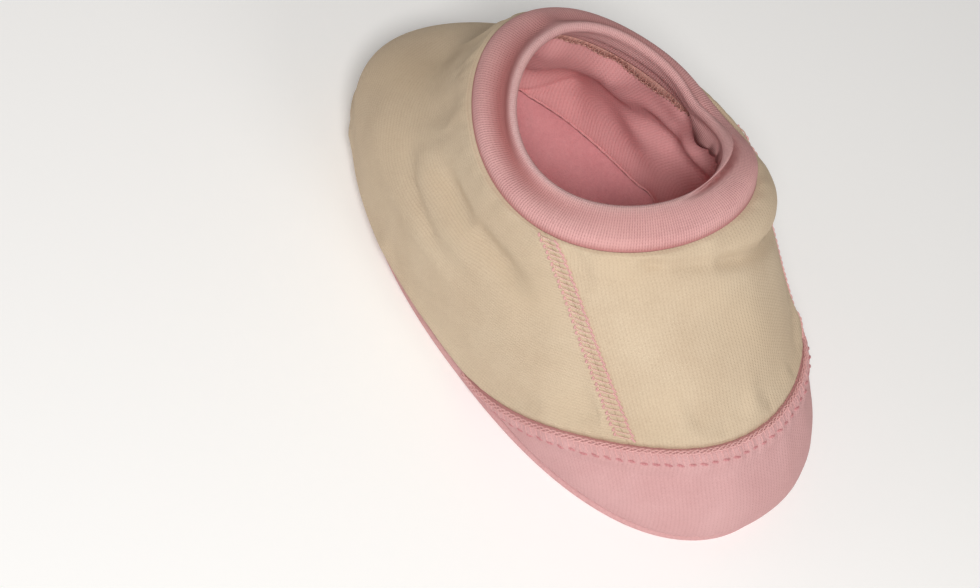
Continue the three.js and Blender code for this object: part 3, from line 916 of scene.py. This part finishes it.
def add_collar(materials):
    """The folded rib band: up the outer leaf, over the rim and down the inner leaf."""
    angle = BAND_JOIN + full_turn(420)
    rim_fuzz_and_highlight = 0.6 - 0.4 * np.sin(angle)  # the rim is painted pale, as brushed fuzz and as painted highlight, most of all at the left, the side towards the camera and the key light
    end = band_length(angle) - RIM_RADIUS
    profile = []  # (distance above the seam, depth, place along the cloth, fuzz and painted light)
    for share in np.linspace(0, 1, 34) ** 1.25:
        distance = SEAM_GAP + (end - SEAM_GAP) * share
        tucked = 0.6 * np.exp(-(distance / 0.8) ** 1.5)
        # Painted shade: the colour darkens in the crease at the seam, in the buckle's crease and in the
        # hollows at the left and right of the band.
        crease_shade = -0.8 * np.exp(-(distance / 0.75) ** 2)
        rise = distance / (end + RIM_RADIUS)
        crease_shade = crease_shade - 0.7 * buckle(angle, rise)[0]
        crease_shade = crease_shade - 1.2 * patch(angle, rise, (-2.2, 0.68), (1.0, 0.20))
        crease_shade = crease_shade - 0.5 * patch(angle, rise, (2.2, 0.66), (0.9, 0.30))
        depth = tucked + RIM_DEPTH * share ** 4
        # Near the rim the outer leaf is painted paler: brushed fuzz and painted highlight.
        profile.append((distance, depth, distance, 0.4 * rim_fuzz_and_highlight * share ** 9 + crease_shade))
    # Over the rim the colour is painted paler most where the fold turns up towards the light: brushed fuzz
    # and painted highlight.
    for turn in np.linspace(0, np.pi, 15)[1:-1]:
        distance = end + RIM_RADIUS * np.sin(turn)
        depth = RIM_DEPTH + RIM_RADIUS * (1 - np.cos(turn))
        profile.append((distance, depth, end + RIM_RADIUS * turn, 0.8 * rim_fuzz_and_highlight * bump(turn - 0.8, 1.0)))
    # Down the inner leaf the colour darkens towards the seam: painted shade inside the bootie, under the
    # band.
    for share in np.linspace(1, 0, 16):
        distance = SEAM_GAP + (end - SEAM_GAP) * share
        inner = RIM_DEPTH + 2 * RIM_RADIUS
        depth = inner + (WALL_THICKNESS + 1.0 - inner) * (1 - smooth(share, 0.0, 1.0))
        along = 2 * end + RIM_RADIUS * np.pi - distance
        profile.append((distance, depth, along, -0.35 * (1 - share)))
    columns = [[np.broadcast_to(part, end.shape) for part in parts] for parts in zip(*profile)]
    distance, depth, cloth, fuzz_and_painted_light = (np.stack(column, 1) for column in columns)
    sections = band_point(angle[:, None], distance, depth)
    band = ring_mesh("collar_band_soft", sections, cloth, RIB, fuzz_and_painted_light)
    dress(band, "collar_band", materials["rib"])


def layer_mesh(name, tops, bottoms):
    """A closed layer from rings of points over and under it, listed from its edge to its middle."""
    rings = np.stack(tops[::-1] + bottoms, 1)
    count, columns = rings.shape[:2]
    faces = grid_faces(count, columns, True, False)
    faces.append(tuple(i * columns for i in range(count)))
    faces.append(tuple(i * columns + columns - 1 for i in reversed(range(count))))
    return new_object(name, rings.reshape(-1, 3), faces, rings[..., :2].reshape(-1, 2))


def disc(name, inset, profile, count=200, rings=26):
    """A flat layer of the sole. profile gives its top and bottom at a distance from its edge."""
    angle = full_turn(count)
    edge = outline(angle, np.full(count, inset))
    middle = np.array([0.0, edge[:, 1].mean()])
    tops, bottoms = [], []
    for share in np.linspace(0, 1, rings) ** 1.6:
        flat = middle + (edge - middle) * max(1 - share, 0.004)
        high, low = profile(norm(edge - flat))
        tops.append(stack(flat[:, 0], flat[:, 1], high))
        bottoms.append(stack(flat[:, 0], flat[:, 1], low))
    return layer_mesh(name, tops, bottoms)


WADDING_MIDDLE, WADDING_HALF = 3.4, 1.5  # height of its middle, and half its thickness


def sole_faces(within):
    """The sole's edge is rounded, and a bead of it closes the crease at the wall's foot."""
    edge = np.sqrt(np.clip(1 - (1 - np.minimum(within, 1)) ** 2, 0, 1))
    bead = 0.8 * bump(within - 1.1, 0.8) + 0.25 * smooth(within, 1.2, 2.0)
    return SOLE_THICKNESS - 0.8 * (1 - edge) + bead, 0.8 * (1 - edge)


def wadding_faces(within):
    edge = smooth(within, -0.5, 5.0)
    return WADDING_MIDDLE + WADDING_HALF * edge, WADDING_MIDDLE - WADDING_HALF * edge


def add_sole(materials):
    sole = disc("sole_soft", -SOLE_LIP, sole_faces)
    dress(sole, "sole_outer", materials["sole"])
    wadding = disc("wadding_soft", INSOLE_INSET, wadding_faces, 120, 14)
    dress(wadding, "sole_wadding", materials["wadding"])
    add_insole(materials)


def inner_wall_point(angle, height, clearance):
    """A point inside the lining, at a clearance from it."""
    return wall_point(angle, height, WALL_THICKNESS + lining_swell(angle, height) + clearance)


def add_insole(materials):
    """The brushed insole: it fills the floor of the bootie and turns up along the lining."""
    angle = full_turn(260)
    edge = inner_wall_point(angle, around(angle, INSOLE_EDGE_HEIGHT), 0.12)
    tops, bottoms = [], []
    for share in np.linspace(0, 1, 40):
        reach = 1 - share ** 1.5 * 0.996
        x = edge[:, 0] * reach
        y = edge[:, 1] * reach
        turned_up = smooth(reach, 0.62, 1.08)
        dips = 0.45 * np.sin(0.21 * x + 1.0) * np.sin(0.16 * y + 0.4) + 0.2 * np.sin(0.45 * x - 0.3 * y)
        z = INSOLE_TOP + (edge[:, 2] - INSOLE_TOP) * turned_up
        z = z + dips * (1 - turned_up) * smooth(share, 0, 0.2)
        tops.append(stack(x, y, z))
        bottoms.append(stack(x * 0.985, y * 0.985, np.maximum(z - INSOLE_THICKNESS, INSOLE_BOTTOM)))
    insole = layer_mesh("insole_soft", tops, bottoms)
    dress(insole, "insole", materials["fleece"])

    # The seam round its edge: small stitches that draw the fleece and the lining together.
    turn = np.linspace(0, 2 * np.pi, 1100)
    weave = INSOLE_STITCHES * turn
    height = around(turn, INSOLE_EDGE_HEIGHT) + 0.002 * np.sin(weave)
    path = inner_wall_point(turn, height, 0.04 * np.cos(weave))
    sew("insole_edge_thread", [path], 0.30, "insole_edge_stitching", materials["rose_thread"], sides=6)


# ---- stitches

def wall_curve(angles, heights):
    """Lengths along a curve on the wall, to place stitches at an even pitch."""
    points = wall_base(angles, heights)
    return np.concatenate([[0], np.cumsum(norm(np.diff(points, axis=0)))])


TOE_LOOP_PITCH = 4.2
TOE_DASH_PITCH, TOE_DASH_LENGTH = 2.4, 1.8
SIDE_STITCH_PITCH = 1.25
SIDE_STITCH_REACH = SIDE_STITCH_WIDTH / 2 + 0.35  # from the seam to each edge row
COLLAR_LOOPS = 124
SOLE_LOOPS = 170


def add_toe_stitches(materials):
    end = toe_seam_angle(3.0)
    angles = np.linspace(-end, end, 500)
    lengths = wall_curve(angles, toe_seam(angles))

    def seam_at(length, below, depth):
        angle = np.interp(length, lengths, angles)
        height = toe_seam(angle)
        return wall_point(angle, height - below / wall_speed(angle, height), depth)

    # Looped row over the edge of the pink fabric: three strands laid round each other.
    run = np.linspace(0.5, lengths[-1] - 0.5, int(lengths[-1] / 0.2))
    strands = []
    for strand in (0.0, 1 / 3, 2 / 3):
        turn = 2 * np.pi * (run / TOE_LOOP_PITCH + strand)
        strands.append(seam_at(run, 0.42 + 0.30 * np.cos(turn), 0.04 - 0.14 * np.sin(turn)))
    sew("toe_loop_row_thread", strands, 0.18, "toe_seam_loop_row", materials["thread"], sides=6)

    # Dashed row, and the looper threads that cross to it.
    end = toe_seam_angle(TOE_ROW_SPACING + 2.5)
    first = np.interp(-end, angles, lengths)
    last = np.interp(end, angles, lengths)
    along = np.linspace(0, 1, 7)
    lift = np.sin(np.pi * along)
    dashes = []
    crossings = []
    for start in np.arange(first, last - TOE_DASH_PITCH, TOE_DASH_PITCH):
        waver = 0.1 * np.sin(start)
        below = TOE_ROW_SPACING + waver + 0.45 * (along - 0.5)
        dashes.append(seam_at(start + TOE_DASH_LENGTH * along, below, 0.38 - 0.42 * lift))
        for shift in (0.0, 0.5 * TOE_DASH_PITCH):
            below = 0.6 + (TOE_ROW_SPACING - 0.7) * along
            crossings.append(seam_at(start + shift + (0.5 + waver) * along, below, 0.16 - 0.12 * lift))
    row = "toe_seam_dash_row"
    sew("toe_dash_row_thread", dashes, 0.29, row, materials["deep_thread"], sides=6)
    sew("toe_looper_thread", crossings, 0.14, row, materials["thread"])


def add_side_stitches(materials):
    """Flatlock over each side seam: a row of hooked stitches along both edges, and rungs between."""
    pitch = SIDE_STITCH_PITCH
    lowest = float(toe_seam(SIDE_SEAM_BOTTOM_ANGLE))
    heights = np.linspace(lowest + 0.012, 0.985, 300)
    angles = side_seam(heights)
    lengths = wall_curve(angles, heights)

    def seam_at(side, length, beside, depth):
        height = np.interp(length, lengths, heights)
        angle = side_seam(height)
        return wall_point(side * (angle + beside / angle_speed(angle, height)), height, depth)

    along = np.linspace(0, 1, 8)
    lift = np.sin(np.pi * along)
    for name, side in (("left", -1), ("right", 1)):
        edges = []
        rungs = []
        for start in np.arange(0.4, lengths[-1] - pitch, pitch):
            waver = 0.12 * np.sin(3.1 * start)
            for edge in (-SIDE_STITCH_REACH, SIDE_STITCH_REACH):
                hook = edge + waver - 0.6 * np.sign(edge) * along ** 2
                edges.append(seam_at(side, start + 1.0 * along, hook, 0.16 - 0.34 * lift))
            beside = SIDE_STITCH_REACH * (1 - 2 * along)
            curl = 0.75 * pitch * along + 0.18 * np.sin(2 * np.pi * along)
            rungs.append(seam_at(side, start + curl, beside + waver, 0.06 - 0.18 * lift))
            short = SIDE_STITCH_REACH - 1.7 * along
            rungs.append(seam_at(side, start + 0.5 * pitch - 0.4 * pitch * along, short, 0.08 - 0.14 * lift))
        seam = f"side_seam_stitching_{name}"
        sew(f"side_edges_{name}_thread", edges, 0.22, seam, materials["thread"])
        sew(f"side_rungs_{name}_thread", rungs, 0.15, seam, materials["pale_thread"])


def allowance_point(angle, below, depth):
    """A point on the collar seam's overlocked edge, which wavers a little."""
    waver = (0.30 * np.sin(7 * angle) + 0.22 * np.sin(17 * angle + 1)) * smooth(below, 0.5, 2.5)
    speed = wall_speed(angle, np.ones_like(angle))
    return wall_point(angle, 1 - (below + waver) / speed, depth)


def add_collar_overlock(materials):
    angle = full_turn(240)
    profile = ((-0.3, 4.7), (1.6, 4.65), (3.0, 4.55), (3.25, 4.8), (3.0, 5.1), (1.6, 5.2), (-0.3, 5.2))
    sections = np.stack([allowance_point(angle, np.full(len(angle), b), d) for b, d in profile], 1)
    strip = ring_mesh("collar_allowance_soft", sections, np.array([b + d for b, d in profile]), 0.6)
    dress(strip, "collar_seam_overlock", materials["allowance"])

    pitch = 2 * np.pi / COLLAR_LOOPS
    along = np.linspace(0, 1, 9)
    below = 0.5 + 2.7 * (1 - np.abs(2 * along - 1))
    depth = 5.24 + 0.1 * np.sin(2 * np.pi * along)
    paths = [allowance_point(i * pitch + pitch * along, below, depth) for i in range(COLLAR_LOOPS)]
    edge = np.linspace(0, 2 * np.pi, 1500)
    weave = COLLAR_LOOPS * edge
    paths.append(allowance_point(edge, 3.25 + 0.18 * np.sin(weave), 5.0 + 0.15 * np.cos(weave)))
    sew("collar_overlock_thread", paths, 0.17, "collar_seam_overlock", materials["tan"])


def add_sole_stitches(materials):
    """Overlock inside the sole seam."""
    along = np.linspace(0, 1, 7)
    up = 0.4 + 3.0 * np.sin(np.pi * along)
    paths = []
    for i in range(SOLE_LOOPS):
        angle = 2 * np.pi * (i + along) / SOLE_LOOPS
        paths.append(wall_point(angle, up / wall_speed(angle, np.zeros_like(angle)), 2.05))
    sew("sole_overlock_thread", paths, 0.2, "sole_seam_overlock", materials["thread"])


# ---- stage

CAMERA_AZIMUTH, CAMERA_ELEVATION, CAMERA_ROLL = -65.9, 51.5, 31.2  # degrees
CAMERA_DISTANCE = 0.5077  # from the middle of the bootie
CAMERA_SENSOR, CAMERA_LENS = 36.0, 91.13
CAMERA_SHIFT = (-0.1256, -0.0656)  # the bootie stands right of the picture's middle and above it
TARGET_HEIGHT = 0.030
FLOOR_HALF = 1.5
# Lights: place from the bootie's middle, towards the camera, right and up in the picture, in
# metres; then size in metres, watts and tint.
LIGHTS = {
    "key": ((0.60, 0.05, -0.03), 0.16, 2.2, (1.0, 0.985, 0.96)),
    "side": ((0.40, 0.35, -0.30), 0.30, 0.7, (1.0, 0.985, 0.96)),
    "fill": ((0.35, -0.5, 0.3), 0.5, 0.35, (0.97, 0.98, 1.0)),
}


def add_camera():
    azimuth, elevation, roll = (math.radians(a) for a in (CAMERA_AZIMUTH, CAMERA_ELEVATION, CAMERA_ROLL))
    back = Vector((
        math.sin(azimuth) * math.cos(elevation),
        -math.cos(azimuth) * math.cos(elevation),
        math.sin(elevation),
    ))
    level = Vector((math.cos(azimuth), math.sin(azimuth), 0))
    raised = back.cross(level)
    right = math.cos(roll) * level + math.sin(roll) * raised
    up = math.cos(roll) * raised - math.sin(roll) * level
    target = Vector((0, SHIFT_Y * MM, TARGET_HEIGHT))
    place = target + back * CAMERA_DISTANCE
    lens = bpy.data.cameras.new("camera")
    lens.sensor_width = CAMERA_SENSOR
    lens.lens = CAMERA_LENS
    lens.shift_x, lens.shift_y = CAMERA_SHIFT
    camera = add_object("camera", lens)
    camera.matrix_world = Matrix((
        (right.x, up.x, back.x, place.x),
        (right.y, up.y, back.y, place.y),
        (right.z, up.z, back.z, place.z),
        (0, 0, 0, 1),
    ))
    bpy.context.scene.camera = camera
    return right, up, back, target


def add_floor():
    mesh = bpy.data.meshes.new("floor")
    corners = [(x * FLOOR_HALF, y * FLOOR_HALF, 0) for x, y in ((-1, -1), (1, -1), (1, 1), (-1, 1))]
    mesh.from_pydata(corners, [], [(0, 1, 2, 3)])
    floor = add_object("floor", mesh)
    paper = bpy.data.materials.new("floor_paper")
    paper.use_nodes = True
    inputs = paper.node_tree.nodes["Principled BSDF"].inputs
    inputs["Base Color"].default_value = (0.93, 0.93, 0.93, 1)
    inputs["Roughness"].default_value = 0.9
    inputs["Emission Color"].default_value = (1, 1, 1, 1)
    inputs["Emission Strength"].default_value = 0.12
    mesh.materials.append(paper)


def add_stage():
    right, up, back, target = add_camera()
    add_floor()
    world = bpy.data.worlds.new("studio")
    world.use_nodes = True
    sky = world.node_tree.nodes["Background"].inputs
    sky["Color"].default_value = (1.0, 0.965, 0.925, 1)
    sky["Strength"].default_value = 0.24
    scene = bpy.context.scene
    scene.world = world
    for name, ((towards, rightwards, upwards), size, watts, tint) in LIGHTS.items():
        light = bpy.data.lights.new(name, "AREA")
        light.shape = "DISK"
        light.size = size
        light.energy = watts
        light.color = tint
        lamp = add_object(name, light)
        lamp.location = target + back * towards + right * rightwards + up * upwards
        lamp.rotation_euler = (target - lamp.location).to_track_quat("-Z", "Y").to_euler()
    scene.view_settings.view_transform = "Standard"
    scene.view_settings.look = "None"


# ---- build

add_stage()
drape = simulate_drape()
cloths = {
    "vamp": knit("cream_vamp_knit", CREAM, 0.80, 0.70, 0.75, 0.10),
    "quarter": knit("cream_quarter_knit", CREAM, 0.68, 0.62, 0.85, 0.10, turned=True),
    "toe": knit("pink_toe_knit", PINK, 0.86, 0.72, 0.75, 0.10),
    "sole": knit("pink_sole_knit", PINK, 0.86, 0.72),
    "rib": knit("pink_rib_knit", RIB_PINK, RIB, 0.55, 1.1, 0.14, 0.08, ribs=0.36),
    "lining": knit("rose_lining_knit", ROSE, 0.80, 0.72, 0.85, 0.12, 0.2, ribs=0.28),
    "allowance": knit("tan_allowance_knit", THREAD_TAN, 0.6, 0.5),
    "fleece": brushed("rose_fleece", FLEECE, 0.35),
    "wadding": brushed("white_wadding", WADDING, 0.4),
    "thread": thread("pink_thread", THREAD_PINK),
    "deep_thread": thread("deep_pink_thread", THREAD_DEEP),
    "pale_thread": thread("pale_pink_thread", THREAD_PALE),
    "rose_thread": thread("rose_thread", ROSE),
    "tan": thread("tan_thread", THREAD_TAN),
}
add_upper(cloths)
add_lining(cloths)
add_collar(cloths)
add_sole(cloths)
add_toe_stitches(cloths)
add_side_stitches(cloths)
add_collar_overlock(cloths)
add_sole_stitches(cloths)
